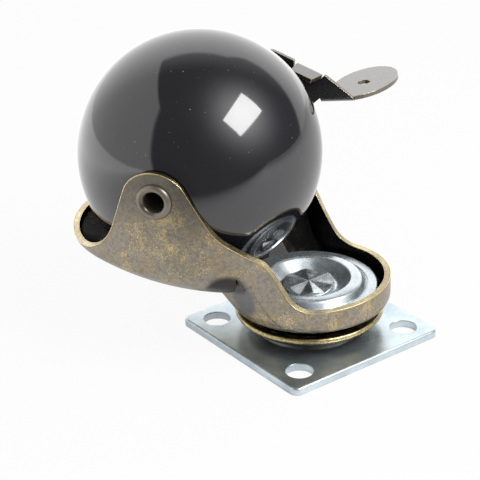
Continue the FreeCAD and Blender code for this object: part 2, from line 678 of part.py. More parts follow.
def pedal():
    """Oval thumb pedal with its small hole, bent out from the web's lower edge."""
    t = LEVER_THICKNESS
    length = (PEDAL_FRONT - GUSSET_BACK) / math.cos(math.radians(PEDAL_TILT))
    strip = folded_strip(length, (t + BEND_RADIUS) * 2, t + PEDAL_CENTRE_OUT)
    strip.rotate(Vector(0, 0, 0), X_AXIS, 180)
    centre = Vector(PEDAL_CENTRE_X - GUSSET_BACK, -t - PEDAL_CENTRE_OUT, 0)
    ellipse = Part.Ellipse(centre, PEDAL_LONG_RADIUS, PEDAL_SHORT_RADIUS)
    oval = Part.Face(Part.Wire(ellipse.toShape())).extrude(Z_AXIS * t)
    oval.rotate(centre, Z_AXIS, 90 - PEDAL_TURN)
    keep = Part.makeBox(PEDAL_LONG_RADIUS * 4, PEDAL_LONG_RADIUS * 2, t,
                        Vector(-PEDAL_LONG_RADIUS * 2, -t - BEND_RADIUS - PEDAL_LONG_RADIUS * 2, 0))
    sheet = strip.fuse(oval.common(keep))
    hole_at = Vector(centre.x, -t - PEDAL_HOLE_OUT, 0)
    sheet = sheet.cut(Part.makeCylinder(PEDAL_HOLE_RADIUS, t, hole_at))
    sheet.rotate(Vector(0, 0, 0), Y_AXIS, PEDAL_TILT)
    sheet.translate(side_point(GUSSET_BACK, PEDAL_UP - t, -LEVER_INSIDE))
    return sheet


def brake_lever():
    """Stamped lever: pivot lobe, arm, tongue bent in over the ball and pedal bent out."""
    bend = LEVER_THICKNESS + BEND_RADIUS
    slope = math.radians(TOP_EDGE_ANGLE)
    tongue_back = TONGUE_START - TONGUE_LENGTH * math.cos(slope)
    gusset_rise = tongue_top(tongue_back) - PEDAL_UP
    gusset_run = tongue_back - GUSSET_BACK
    gusset_slope = gusset_rise / gusset_run
    lift = bend / math.cos(math.radians(PEDAL_TILT)) - LEVER_THICKNESS
    meet_run = lift / (gusset_slope + math.tan(math.radians(PEDAL_TILT)))
    lobe_run = PIVOT_LOBE_RADIUS * 0.78
    lobe_rise = PIVOT_LOBE_RADIUS * 0.57
    fold_run = bend * math.sin(slope)
    fold_drop = bend * math.cos(slope)
    chamfer = bend * 0.3
    notch = TONGUE_START + TONGUE_NOTCH
    corners = [
        (GUSSET_BACK + meet_run, PEDAL_UP + gusset_slope * meet_run, 0),
        (tongue_back - chamfer, tongue_top(tongue_back) - gusset_slope * chamfer, 0),
        (tongue_back + fold_run, tongue_top(tongue_back) - fold_drop, 0),
        (TONGUE_START + fold_run, tongue_top(TONGUE_START) - fold_drop, 0),
        (notch, tongue_top(notch) - bend, 0),
        (notch, lever_top(notch), 0),
        (ARM_TIP_FORWARD, ARM_TIP_UP, ARM_TIP_RADIUS),
        (ARM_FRONT, ARM_WAIST_UP, ARM_WAIST_RADIUS),
        (ARM_FRONT, PIVOT_UP, 0),
        (PIVOT_FORWARD - lobe_run, PIVOT_UP + lobe_rise, 0),
        (PEDAL_FRONT, pedal_top(PEDAL_FRONT) + lift, 0),
    ]
    outline = flat_face([(side_point(x, up, -LEVER_OUTSIDE), radius) for x, up, radius in corners])
    web = outline.extrude(Y_AXIS * LEVER_THICKNESS)
    lobe = cross_pin(PIVOT_LOBE_RADIUS, -LEVER_OUTSIDE, -LEVER_INSIDE, PIVOT_FORWARD, PIVOT_UP)
    clear_y = -LEVER_OUTSIDE - BEND_RADIUS
    over_slope = flat_face([
        (side_point(GUSSET_BACK - gusset_run, PEDAL_UP - gusset_rise, clear_y), 0),
        (side_point(tongue_back, PEDAL_UP + gusset_rise, clear_y), 0),
        (side_point(GUSSET_BACK - gusset_run, PEDAL_UP + gusset_rise, clear_y), 0),
    ]).extrude(Y_AXIS * (bend + BEND_RADIUS))
    lever = web.fuse([lobe, tongue(), pedal().cut(over_slope)])
    bore = PIVOT_PIN_RADIUS + RUNNING_CLEARANCE
    pin_hole = cross_pin(bore, -LEVER_OUTSIDE, -EAR_INSIDE, PIVOT_FORWARD, PIVOT_UP)
    return lever.cut(pin_hole).removeSplitter()


def brake_pivot():
    """Rivet of the brake lever, countersunk flush inside the ear so that it clears the ball."""
    head_y = -LEVER_OUTSIDE - RUNNING_CLEARANCE
    profile = [
        (0, 0, 0),
        (PIVOT_HEAD_RADIUS, 0, 0),
        (PIVOT_HEAD_RADIUS, PIVOT_HEAD_THICKNESS, PIVOT_HEAD_THICKNESS * 0.6),
        (0, PIVOT_HEAD_THICKNESS, 0),
    ]
    head = revolve_profile(profile)
    head.rotate(Vector(0, 0, 0), X_AXIS, 90)
    head.translate(side_point(PIVOT_FORWARD, PIVOT_UP, head_y))
    pin = cross_pin(PIVOT_PIN_RADIUS, head_y, -EAR_INSIDE, PIVOT_FORWARD, PIVOT_UP)
    sink = Part.makeCone(PIVOT_PIN_RADIUS, PIVOT_SINK_RADIUS, PIVOT_SINK_DEPTH,
                         side_point(PIVOT_FORWARD, PIVOT_UP, -EAR_INSIDE - PIVOT_SINK_DEPTH), Y_AXIS)
    return pin.fuse(head).fuse(sink).removeSplitter()


def brake_washer():
    """Thin friction washer between the ear and the lever."""
    place = (PIVOT_FORWARD, PIVOT_UP)
    outer = cross_pin(WASHER_RADIUS, -LEVER_INSIDE + WASHER_PLAY, -HOOD_HALF_WIDTH, *place)
    return outer.cut(cross_pin(PIVOT_PIN_RADIUS, -LEVER_INSIDE, -HOOD_HALF_WIDTH, *place))


FIXED_PARTS = {
    "mounting_plate": mounting_plate,
    "race_pan": race_pan,
    "kingpin": kingpin,
    "bearing_disc": bearing_disc,
}

SWIVEL_PARTS = {
    "hood": hood,
    "axle_rivet": axle_rivet,
    "ball_wheel": ball_wheel,
    "brake_lever": brake_lever,
    "brake_pivot": brake_pivot,
    "brake_washer": brake_washer,
}


def main():
    """Build every piece, turn the swivelling ones to the fork's direction and write them out."""
    os.makedirs("parts", exist_ok=True)
    shapes = {name: make() for name, make in FIXED_PARTS.items()}
    lower_row = ball_row(LOWER_BALL_COUNT, LOWER_BALL_DIAMETER, LOWER_ROW_RADIUS, LOWER_ROW_Z)
    upper_row = ball_row(UPPER_BALL_COUNT, UPPER_BALL_DIAMETER, UPPER_ROW_RADIUS, UPPER_ROW_Z)
    shapes["lower_ball_row"] = lower_row
    shapes["upper_ball_row"] = upper_row
    for name, make in SWIVEL_PARTS.items():
        shape = make()
        shape.rotate(Vector(0, 0, 0), Z_AXIS, SWIVEL_ANGLE)
        shapes[name] = shape
    for name, shape in shapes.items():
        shape.exportStep(f"parts/{name}.step")
        print(name, "solids", len(shape.Solids), "valid", shape.isValid(), "volume", round(shape.Volume, 1))


main()
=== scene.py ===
import logging
import math
from dataclasses import dataclass, field
from enum import Enum

import bmesh
import bpy
from mathutils import Matrix, Vector
from mathutils.bvhtree import BVHTree

"""Looks of a ball castor with a brake: antique bronze hood, black ball and bright zinc plate.

Every length is in metres. The frame is the castor's own: origin in the middle of the plate's
mounting face, +Z along the swivel axis towards the ball.
"""

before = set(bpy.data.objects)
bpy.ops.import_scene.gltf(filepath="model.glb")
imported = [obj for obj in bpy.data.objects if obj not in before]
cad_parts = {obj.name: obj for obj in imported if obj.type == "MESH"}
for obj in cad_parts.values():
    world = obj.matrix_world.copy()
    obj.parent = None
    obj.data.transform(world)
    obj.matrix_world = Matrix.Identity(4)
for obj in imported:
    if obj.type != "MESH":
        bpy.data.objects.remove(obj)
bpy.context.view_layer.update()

LOG = logging.getLogger("ball_castor")

MM = 0.001
# Places in the frame, in metres, and the turn of the hood about the swivel axis.
BALL_CENTRE = Vector((0.01924, 0.01278, 0.038))
CUP_CENTRE = Vector((0.0, 0.0, 0.016))
FORK_TURN = math.radians(33.6)
# Marks on the neck, in the hood's own axes: a plain grey facet without flecks, and painted shade in the dark hollow
# over it.
NECK_FACET = Vector((0.0080, 0.0180, 0.0155))
NECK_FACET_RADII = Vector((0.0030, 0.0065, 0.0056))
NECK_HOLLOW = Vector((0.0106, 0.0210, 0.0192))
NECK_HOLLOW_RADII = Vector((0.0044, 0.0052, 0.0038))
# Added before the fold onto the +y side, so that only y is mirrored.
FOLD_SHIFT = Vector((0.1, 0.0, 0.1))
# Material slots of the hood after its main finish.
INNER_SLOT = 1
RIM_SLOT = 2
# Rays of the Bevel node: more where it draws worn edges than where it only rounds them.
EDGE_SAMPLES = 8
SOFT_SAMPLES = 6
# How much finer the Wave node repeats than a noise of the same scale.
WAVE_RATE = 20.0

Socket = bpy.types.NodeSocket
Tree = bpy.types.NodeTree
Span = tuple[float, float]

# Values between which nearly all of a noise lies.
NOISE_SPAN: Span = (0.3, 0.7)


class Spin(Enum):
    """Which way a turned part's fine machining rings run."""

    AROUND_SWIVEL = "swivel axis"
    AROUND_AXLE = "wheel axle"


def srgb(code: str) -> tuple[float, float, float, float]:
    """Turn an sRGB hex code into a linear colour.

    Args:
        code: six hex digits, such as "8a7f66".

    Returns:
        Linear red, green, blue and an alpha of 1.
    """
    channels = [int(code[i:i + 2], 16) / 255 for i in (0, 2, 4)]
    linear = [c / 12.92 if c <= 0.04045 else ((c + 0.055) / 1.055) ** 2.4 for c in channels]
    return (linear[0], linear[1], linear[2], 1.0)


def add_node(
    tree: Tree, kind: str, settings: dict | None = None, inputs: dict | None = None
) -> bpy.types.Node:
    """Add one node with its settings, and fill or link its sockets.

    Args:
        tree: node tree that gets the node.
        kind: Blender's name of the node type.
        settings: properties of the node by name.
        inputs: values or output sockets by input name or index.

    Returns:
        The new node.
    """
    node = tree.nodes.new(kind)
    for name, value in (settings or {}).items():
        setattr(node, name, value)
    for key, value in (inputs or {}).items():
        if isinstance(value, Socket):
            tree.links.new(value, node.inputs[key])
        else:
            node.inputs[key].default_value = value
    return node


def scale_for(size_mm: float) -> float:
    """Find the texture scale at which one feature of a noise has a given width.

    Args:
        size_mm: width of the feature on the real object, in millimetres.

    Returns:
        The scale for Object coordinates in metres.
    """
    return 1.0 / (size_mm * MM)


def between(ends: Span) -> dict[str, float]:
    """Name the two ends from which a Map Range node maps.

    Args:
        ends: values that become the node's lowest and highest result.

    Returns:
        The node's inputs by name.
    """
    return {"From Min": ends[0], "From Max": ends[1]}


def start_material(name: str) -> tuple[bpy.types.Material, Tree, bpy.types.Node, Socket]:
    """Make an empty material.

    Args:
        name: what the real material is called.

    Returns:
        The material, its node tree, its shader and the Object coordinates.
    """
    material = bpy.data.materials.new(name)
    material.use_nodes = True
    tree = material.node_tree
    return material, tree, tree.nodes["Principled BSDF"], add_node(tree, "ShaderNodeTexCoord").outputs["Object"]


def dress(names: list[str], material: bpy.types.Material) -> None:
    """Give the finish to CAD nodes, and log each piece.

    Args:
        names: CAD nodes by name.
        material: the finish.
    """
    for name in names:
        mesh = bpy.data.objects[name].data
        mesh.materials.clear()
        mesh.materials.append(material)
        LOG.info("%s is finished in %s", name, material.name)


@dataclass(frozen=True)
class AntiqueBronzePlate:
    """Steel sheet, bronze plated, blackened and tumbled until the proud places show brass again.

    The eye gets a warm grey-brown satin metal with fine pale gold flecks in clouds, golden lines
    along the edges of the sheet and a faint hammered unevenness.
    """

    name: str = "antique_bronze_plated_steel"
    body: str = "9b958a"
    cool: str = "7d776e"
    tan: str = "a08b63"
    fleck: str = "dfc488"
    edge: str = "f0daa2"
    soot: str = "4a3f2e"
    # Painted shade: the dark grey of the hollow over the neck.
    hollow_shade: str = "403e3c"
    smooth: str = "6f6e70"
    # Painted shade: the dull dark grey-brown that the colour goes to towards the top.
    top_shade: str = "55524b"
    fleck_mm: float = 0.3
    patch_mm: float = 5.0
    mottle_mm: float = 0.8
    edge_mm: float = 0.7
    soften_mm: float = 0.3
    roughness: float = 0.34
    fleck_cut: float = 0.59
    fleck_soft: float = 0.2
    fleck_most: float = 0.75
    crowding: float = 0.75
    rub_share: float = 0.09
    ragged_mm: float = 0.7
    ragged_by: float = 0.14
    worn_between: Span = (0.96, 0.84)
    beside_between: Span = (0.997, 0.98)
    beside_most: float = 0.75
    band_rises: Span = (0.019, 0.027)
    band_falls: Span = (0.042, 0.033)
    cup_falls: Span = (0.0145, 0.011)
    blob_fades: Span = (1.05, 0.7)
    mottle_between: Span = (0.36, 0.64)
    warmth_mm: float = 3.0
    warm_between: Span = (0.44, 0.66)
    warm_most: float = 0.32
    top_shade_rises: Span = (0.027, 0.041)
    top_shade_most: float = 0.62
    smoother: float = 0.05
    rougher: float = 0.08
    grain_mm: float = 0.45
    grain_strength: float = 0.22
    grain_deep_mm: float = 0.08

    def edge_wear(self, tree: Tree, place: Socket) -> tuple[Socket, Socket]:
        """Masks of the worn edges and of the dark line beside them.

        Args:
            tree: node tree that gets the nodes.
            place: Object coordinates.

        Returns:
            A mask that is 1 along sharp edges, where tumbling wears the black off, and one that
            is 1 just beside them, where the black stays.
        """
        rounded = add_node(tree, "ShaderNodeBevel", {"samples": EDGE_SAMPLES}, {"Radius": self.edge_mm * MM})
        true = add_node(tree, "ShaderNodeNewGeometry")
        dot = add_node(tree, "ShaderNodeVectorMath", {"operation": "DOT_PRODUCT"},
                       {0: rounded.outputs["Normal"], 1: true.outputs["Normal"]})
        ragged = add_node(tree, "ShaderNodeTexNoise", None,
                          {"Vector": place, "Scale": scale_for(self.ragged_mm), "Detail": 3.0})
        uneven = add_node(tree, "ShaderNodeMath", {"operation": "MULTIPLY_ADD"},
                          {0: ragged.outputs["Fac"], 1: self.ragged_by, 2: -self.ragged_by / 2})
        both = add_node(tree, "ShaderNodeMath", {"operation": "ADD"},
                        {0: dot.outputs["Value"], 1: uneven.outputs["Value"]})
        worn = add_node(tree, "ShaderNodeMapRange", {"interpolation_type": "SMOOTHSTEP"},
                        {"Value": both.outputs["Value"], **between(self.worn_between)})
        beside = add_node(tree, "ShaderNodeMapRange", {"interpolation_type": "SMOOTHSTEP"},
                          {"Value": dot.outputs["Value"], **between(self.beside_between),
                           "To Max": self.beside_most})
        return worn.outputs["Result"], beside.outputs["Result"]

    def rubbed(self, tree: Tree, place: Socket) -> Socket:
        """How much each place is rubbed: most in a band round the bowl and on the low cup.

        Args:
            tree: node tree that gets the nodes.
            place: Object coordinates.

        Returns:
            A mask that is 1 where the hood is rubbed most.
        """
        height = add_node(tree, "ShaderNodeSeparateXYZ", None, {"Vector": place})
        rises = add_node(tree, "ShaderNodeMapRange", {"interpolation_type": "SMOOTHSTEP"},
                         {"Value": height.outputs["Z"], **between(self.band_rises)})
        falls = add_node(tree, "ShaderNodeMapRange", {"interpolation_type": "SMOOTHSTEP"},
                         {"Value": height.outputs["Z"], **between(self.band_falls)})
        band = add_node(tree, "ShaderNodeMath", {"operation": "MULTIPLY"},
                        {0: rises.outputs["Result"], 1: falls.outputs["Result"]})
        low = add_node(tree, "ShaderNodeMapRange", {"interpolation_type": "SMOOTHSTEP"},
                       {"Value": height.outputs["Z"], **between(self.cup_falls)})
        return add_node(tree, "ShaderNodeMath", {"operation": "MAXIMUM"},
                        {0: band.outputs["Value"], 1: low.outputs["Result"]}).outputs["Value"]

    def fleck_mask(self, tree: Tree, place: Socket) -> Socket:
        """Mask of fine golden flecks that crowd together in clouds.

        Args:
            tree: node tree that gets the nodes.
            place: Object coordinates.

        Returns:
            A mask that is highest in the middle of a fleck.
        """
        fine = add_node(tree, "ShaderNodeTexNoise", None,
                        {"Vector": place, "Scale": scale_for(self.fleck_mm), "Detail": 3.0, "Roughness": 0.65})
        patch = add_node(tree, "ShaderNodeTexNoise", None,
                         {"Vector": place, "Scale": scale_for(self.patch_mm), "Detail": 3.0, "Roughness": 0.6})
        crowd = add_node(tree, "ShaderNodeMath", {"operation": "MULTIPLY_ADD"},
                         {0: patch.outputs["Fac"], 1: self.crowding, 2: -self.crowding / 2})
        rub = add_node(tree, "ShaderNodeMath", {"operation": "MULTIPLY_ADD"},
                       {0: self.rubbed(tree, place), 1: self.rub_share, 2: crowd.outputs["Value"]})
        both = add_node(tree, "ShaderNodeMath", {"operation": "ADD"},
                        {0: fine.outputs["Fac"], 1: rub.outputs["Value"]})
        mask = add_node(tree, "ShaderNodeMapRange", {"interpolation_type": "SMOOTHSTEP"},
                        {"Value": both.outputs["Value"], "From Min": self.fleck_cut,
                         "From Max": self.fleck_cut + self.fleck_soft, "To Max": self.fleck_most})
        return mask.outputs["Result"]

    def in_blob(self, tree: Tree, place: Socket, centre: Vector, radii: Vector) -> Socket:
        """Soft mask of an ellipsoid on both sides of the hood.

        Args:
            tree: node tree that gets the nodes.
            place: Object coordinates.
            centre: middle of the ellipsoid in the hood's own axes, on the +y side.
            radii: half lengths of the ellipsoid.

        Returns:
            A mask that is 1 in the middle and fades to 0 at the ellipsoid.
        """
        turned = add_node(tree, "ShaderNodeVectorRotate", {"rotation_type": "Z_AXIS"},
                          {"Vector": place, "Angle": -FORK_TURN})
        moved = add_node(tree, "ShaderNodeVectorMath", {"operation": "ADD"},
                         {0: turned.outputs["Vector"], 1: FOLD_SHIFT})
        folded = add_node(tree, "ShaderNodeVectorMath", {"operation": "ABSOLUTE"}, {0: moved.outputs["Vector"]})
        apart = add_node(tree, "ShaderNodeVectorMath", {"operation": "SUBTRACT"},
                         {0: folded.outputs["Vector"], 1: centre + FOLD_SHIFT})
        scaled = add_node(tree, "ShaderNodeVectorMath", {"operation": "DIVIDE"},
                          {0: apart.outputs["Vector"], 1: radii})
        reach = add_node(tree, "ShaderNodeVectorMath", {"operation": "LENGTH"}, {0: scaled.outputs["Vector"]})
        inside = add_node(tree, "ShaderNodeMapRange", {"interpolation_type": "SMOOTHSTEP"},
                          {"Value": reach.outputs["Value"], **between(self.blob_fades)})
        return inside.outputs["Result"]

    def build(self) -> bpy.types.Material:
        """Make the material.

        Returns:
            The new material.
        """
        material, tree, shader, place = start_material(self.name)
        mottle = add_node(tree, "ShaderNodeTexNoise", None,
                          {"Vector": place, "Scale": scale_for(self.mottle_mm), "Detail": 4.0, "Roughness": 0.65})
        spread = add_node(tree, "ShaderNodeMapRange", None,
                          {"Value": mottle.outputs["Fac"], **between(self.mottle_between)})
        ground = add_node(tree, "ShaderNodeMix", {"data_type": "RGBA"},
                          {0: spread.outputs["Result"], 6: srgb(self.cool), 7: srgb(self.body)})
        warmth = add_node(tree, "ShaderNodeTexNoise", None,
                          {"Vector": place, "Scale": scale_for(self.warmth_mm), "Detail": 3.0})
        warm = add_node(tree, "ShaderNodeMapRange", {"interpolation_type": "SMOOTHSTEP"},
                        {"Value": warmth.outputs["Fac"], **between(self.warm_between),
                         "To Max": self.warm_most})
        toned = add_node(tree, "ShaderNodeMix", {"data_type": "RGBA"},
                         {0: warm.outputs["Result"], 6: ground.outputs[2], 7: srgb(self.tan)})
        flecked = add_node(tree, "ShaderNodeMix", {"data_type": "RGBA"},
                           {0: self.fleck_mask(tree, place), 6: toned.outputs[2], 7: srgb(self.fleck)})
        # Painted shade: towards the top, round the ears, the colour is blended to a darker grey-brown, standing for
        # the darker studio mirrored there.
        height = add_node(tree, "ShaderNodeSeparateXYZ", None, {"Vector": place})
        high = add_node(tree, "ShaderNodeMapRange", {"interpolation_type": "SMOOTHSTEP"},
                        {"Value": height.outputs["Z"], **between(self.top_shade_rises),
                         "To Max": self.top_shade_most})
        top_shaded = add_node(tree, "ShaderNodeMix", {"data_type": "RGBA"},
                          {0: high.outputs["Result"], 6: flecked.outputs[2], 7: srgb(self.top_shade)})
        worn, beside = self.edge_wear(tree, place)
        sooted = add_node(tree, "ShaderNodeMix", {"data_type": "RGBA"},
                          {0: beside, 6: top_shaded.outputs[2], 7: srgb(self.soot)})
        edged = add_node(tree, "ShaderNodeMix", {"data_type": "RGBA"},
                         {0: worn, 6: sooted.outputs[2], 7: srgb(self.edge)})
        # A plain grey without flecks over the neck's facet.
        facet_toned = add_node(tree, "ShaderNodeMix", {"data_type": "RGBA"},
                           {0: self.in_blob(tree, place, NECK_FACET, NECK_FACET_RADII),
                            6: edged.outputs[2], 7: srgb(self.smooth)})
        # Painted shade: the hollow over the neck's facet is darkened to a dark grey.
        shaded = add_node(tree, "ShaderNodeMix", {"data_type": "RGBA"},
                          {0: self.in_blob(tree, place, NECK_HOLLOW, NECK_HOLLOW_RADII),
                           6: facet_toned.outputs[2], 7: srgb(self.hollow_shade)})
        tree.links.new(shaded.outputs[2], shader.inputs["Base Color"])
        gloss = add_node(tree, "ShaderNodeMapRange", None,
                         {"Value": mottle.outputs["Fac"], **between(NOISE_SPAN),
                          "To Min": self.roughness - self.smoother, "To Max": self.roughness + self.rougher})
        tree.links.new(gloss.outputs["Result"], shader.inputs["Roughness"])
        grain = add_node(tree, "ShaderNodeTexNoise", None,
                         {"Vector": place, "Scale": scale_for(self.grain_mm), "Detail": 3.0, "Roughness": 0.6})
        soft = add_node(tree, "ShaderNodeBevel", {"samples": SOFT_SAMPLES}, {"Radius": self.soften_mm * MM})
        bump = add_node(tree, "ShaderNodeBump", None,
                        {"Strength": self.grain_strength, "Distance": self.grain_deep_mm * MM,
                         "Height": grain.outputs["Fac"],
                         "Normal": soft.outputs["Normal"]})
        tree.links.new(bump.outputs["Normal"], shader.inputs["Normal"])
        shader.inputs["Metallic"].default_value = 1.0
        return material


@dataclass(frozen=True)
class NearBlackInnerBronze:
    """Near-black finish given to the inner faces of the drawn hood.

    The eye gets a near black metal that is still glossy, with a few brown traces.
    """

    name: str = "near_black_inner_bronze"
    colour: str = "2a2928"
    trace: str = "4b443a"
    glancing: str = "6a6560"
    trace_mm: float = 2.5
    trace_between: Span = (0.52, 0.72)
    roughness: float = 0.2
    smoother: float = 0.04
    rougher: float = 0.16
    metallic: float = 0.85

    def build(self) -> bpy.types.Material:
        """Make the material.

        Returns:
            The new material.
        """
        material, tree, shader, place = start_material(self.name)
        traces = add_node(tree, "ShaderNodeTexNoise", None,
                          {"Vector": place, "Scale": scale_for(self.trace_mm), "Detail": 5.0, "Roughness": 0.7})
        share = add_node(tree, "ShaderNodeMapRange", {"interpolation_type": "SMOOTHSTEP"},
                         {"Value": traces.outputs["Fac"], **between(self.trace_between)})
        colour = add_node(tree, "ShaderNodeMix", {"data_type": "RGBA"},
                          {0: share.outputs["Result"], 6: srgb(self.colour), 7: srgb(self.trace)})
        tree.links.new(colour.outputs[2], shader.inputs["Base Color"])
        gloss = add_node(tree, "ShaderNodeMapRange", None,
                         {"Value": traces.outputs["Fac"], **between(NOISE_SPAN),
                          "To Min": self.roughness - self.smoother, "To Max": self.roughness + self.rougher})
        tree.links.new(gloss.outputs["Result"], shader.inputs["Roughness"])
        shader.inputs["Metallic"].default_value = self.metallic
        shader.inputs["Specular Tint"].default_value = srgb(self.glancing)
        return material


@dataclass(frozen=True)
class BrightZinc:
    """Bright zinc plating with a clear passivation on pressed steel.

    The eye gets a bluish white metal, close to a mirror where the press polished it and satin
    where the strip was only rolled, with faint cloudy variation and softly rounded edges. A haze in
    the passivation scatters a little of the light, so it is not metallic all through.
    """

    name: str = "bright_zinc_plated_steel"
    colour: str = "dde3e6"
    shade: str = "b9c6cc"
    cloud_mm: float = 6.0
    cloud_between: Span = (0.35, 0.65)
    roughness: float = 0.2
    spread: float = 0.08
    ripple: float = 0.06
    ripple_mm: float = 1.2
    ripple_deep_mm: float = 0.1
    soften_mm: float = 0.25
    metallic: float = 1.0

    def build(self) -> bpy.types.Material:
        """Make the material.

        Returns:
            The new material.
        """
        material, tree, shader, place = start_material(self.name)
        cloud = add_node(tree, "ShaderNodeTexNoise", None,
                         {"Vector": place, "Scale": scale_for(self.cloud_mm), "Detail": 6.0, "Roughness": 0.65})
        share = add_node(tree, "ShaderNodeMapRange", None,
                         {"Value": cloud.outputs["Fac"], **between(self.cloud_between)})
        colour = add_node(tree, "ShaderNodeMix", {"data_type": "RGBA"},
                          {0: share.outputs["Result"], 6: srgb(self.shade), 7: srgb(self.colour)})
        tree.links.new(colour.outputs[2], shader.inputs["Base Color"])
        gloss = add_node(tree, "ShaderNodeMapRange", None,
                         {"Value": cloud.outputs["Fac"], **between(NOISE_SPAN),
                          "To Min": self.roughness, "To Max": self.roughness + self.spread})
        tree.links.new(gloss.outputs["Result"], shader.inputs["Roughness"])
        grain = add_node(tree, "ShaderNodeTexNoise", None,
                         {"Vector": place, "Scale": scale_for(self.ripple_mm), "Detail": 3.0})
        soft = add_node(tree, "ShaderNodeBevel", {"samples": SOFT_SAMPLES}, {"Radius": self.soften_mm * MM})
        bump = add_node(tree, "ShaderNodeBump", None,
                        {"Strength": self.ripple, "Distance": self.ripple_deep_mm * MM,
                         "Height": grain.outputs["Fac"],
                         "Normal": soft.outputs["Normal"]})
        tree.links.new(bump.outputs["Normal"], shader.inputs["Normal"])
        shader.inputs["Metallic"].default_value = self.metallic
        return material


@dataclass(frozen=True)
class TurnedSteel:
    """Oiled steel that was turned or rolled over, so fine rings run round its axis.

    The eye gets a dark grey metal with soft streaked highlights.
    """

    name: str = "dark_oiled_steel"
    colour: str = "8d867c"
    deep: str = "615b53"
    ring_mm: float = 0.35
    flatten: float = 0.05
    distortion: float = 3.0
    roughness: float = 0.3
    spread: float = 0.12
    metallic: float = 1.0
    spin: Spin = Spin.AROUND_AXLE

    def build(self) -> bpy.types.Material:
        """Make the material.

        Returns:
            The new material.
        """
        material, tree, shader, place = start_material(self.name)
        around_axle = self.spin is Spin.AROUND_AXLE
        centre = BALL_CENTRE if around_axle else Vector((0.0, 0.0, 0.0))
        turn = Matrix.Rotation(-FORK_TURN, 3, "Z") if around_axle else Matrix.Identity(3)
        local = add_node(tree, "ShaderNodeMapping", None,
                         {"Vector": place, "Location": -(turn @ centre), "Rotation": turn.to_euler()})
        flat = add_node(tree, "ShaderNodeMapping", None,
                        {"Vector": local.outputs["Vector"],
                         "Scale": (1.0, self.flatten, 1.0) if around_axle else (1.0, 1.0, self.flatten)})
        rings = add_node(tree, "ShaderNodeTexWave", {"wave_type": "RINGS", "rings_direction": "SPHERICAL"},
                         {"Vector": flat.outputs["Vector"], "Scale": scale_for(self.ring_mm) / WAVE_RATE,
                          "Distortion": self.distortion, "Detail": 2.0})
        colour = add_node(tree, "ShaderNodeMix", {"data_type": "RGBA"},
                          {0: rings.outputs["Fac"], 6: srgb(self.deep), 7: srgb(self.colour)})
        tree.links.new(colour.outputs[2], shader.inputs["Base Color"])
        gloss = add_node(tree, "ShaderNodeMapRange", None,
                         {"Value": rings.outputs["Fac"], "To Min": self.roughness,
                          "To Max": self.roughness + self.spread})
        tree.links.new(gloss.outputs["Result"], shader.inputs["Roughness"])
        shader.inputs["Metallic"].default_value = self.metallic
        return material


@dataclass(frozen=True)
class PolishedResin:
    """Cast resin, pigmented black and polished like a billiard ball.

    The eye gets a deep glossy black that mirrors the studio, with specks of dust, faint smears
    and a slightly milky sheen from the resin under the gloss.
    """

    name: str = "polished_black_resin"
    colour: str = "19181c"
    bloom: str = "232227"
    speck: str = "8c8c90"
    roughness: float = 0.04
    ior: float = 1.74
    spread: float = 0.06
    smear_mm: float = 14.0
    smear_between: Span = (0.35, 0.75)
    dust_mm: float = 0.5
    dust_between: Span = (0.76, 0.82)
    pit_mm: float = 5.0
    pit_strength: float = 0.02
    pit_deep_mm: float = 0.3

    def build(self) -> bpy.types.Material:
        """Make the material.

        Returns:
            The new material.
        """
        material, tree, shader, place = start_material(self.name)
        smear = add_node(tree, "ShaderNodeTexNoise", None,
                         {"Vector": place, "Scale": scale_for(self.smear_mm), "Detail": 6.0, "Roughness": 0.6})
        dust = add_node(tree, "ShaderNodeTexNoise", None,
                        {"Vector": place, "Scale": scale_for(self.dust_mm), "Detail": 1.0})
        specks = add_node(tree, "ShaderNodeMapRange", {"interpolation_type": "SMOOTHSTEP"},
                          {"Value": dust.outputs["Fac"], **between(self.dust_between)})
        tone = add_node(tree, "ShaderNodeMix", {"data_type": "RGBA"},
                        {0: smear.outputs["Fac"], 6: srgb(self.colour), 7: srgb(self.bloom)})
        dusty = add_node(tree, "ShaderNodeMix", {"data_type": "RGBA"},
                         {0: specks.outputs["Result"], 6: tone.outputs[2], 7: srgb(self.speck)})
        tree.links.new(dusty.outputs[2], shader.inputs["Base Color"])
        gloss = add_node(tree, "ShaderNodeMapRange", None,
                         {"Value": smear.outputs["Fac"], **between(self.smear_between),
                          "To Min": self.roughness, "To Max": self.roughness + self.spread})
        tree.links.new(gloss.outputs["Result"], shader.inputs["Roughness"])
        pits = add_node(tree, "ShaderNodeTexNoise", None,
                        {"Vector": place, "Scale": scale_for(self.pit_mm), "Detail": 3.0})
        outward = add_node(tree, "ShaderNodeVectorMath", {"operation": "SUBTRACT"}, {0: place, 1: BALL_CENTRE})
        round_way = add_node(tree, "ShaderNodeVectorTransform",
                             {"vector_type": "NORMAL", "convert_from": "OBJECT", "convert_to": "WORLD"},
                             {"Vector": outward.outputs["Vector"]})
        bump = add_node(tree, "ShaderNodeBump", None,
                        {"Strength": self.pit_strength, "Distance": self.pit_deep_mm * MM,
                         "Height": pits.outputs["Fac"],
                         "Normal": round_way.outputs["Vector"]})
        tree.links.new(bump.outputs["Normal"], shader.inputs["Normal"])
        shader.inputs["IOR"].default_value = self.ior
        return material


@dataclass
class FixingPlate:
    """Zinc-plated fixing plate."""

    finish: BrightZinc = field(default_factory=lambda: BrightZinc(
        name="rolled_zinc_plated_steel", colour="d4dee3", shade="abb9c0", cloud_mm=9.0,
        roughness=0.25, spread=0.1, soften_mm=0.35, metallic=0.85))
    # Painted shade: the boss under the pan is a darker grey zinc, standing for the pan's shadow on it.
    boss_shade: BrightZinc = field(default_factory=lambda: BrightZinc(
        name="zinc_with_painted_shade", colour="6f7173", shade="4c4e50", cloud_mm=3.0, roughness=0.34))
    boss_from: float = 1.62 * MM

    def dress(self) -> None:
        """Finish the plate, and its boss in a darker zinc, as painted shade under the pan."""
        dress(["mounting_plate"], self.finish.build())
        mesh = bpy.data.objects["mounting_plate"].data
        mesh.materials.append(self.boss_shade.build())
        for face in mesh.polygons:
            face.material_index = int(face.center.z > self.boss_from)


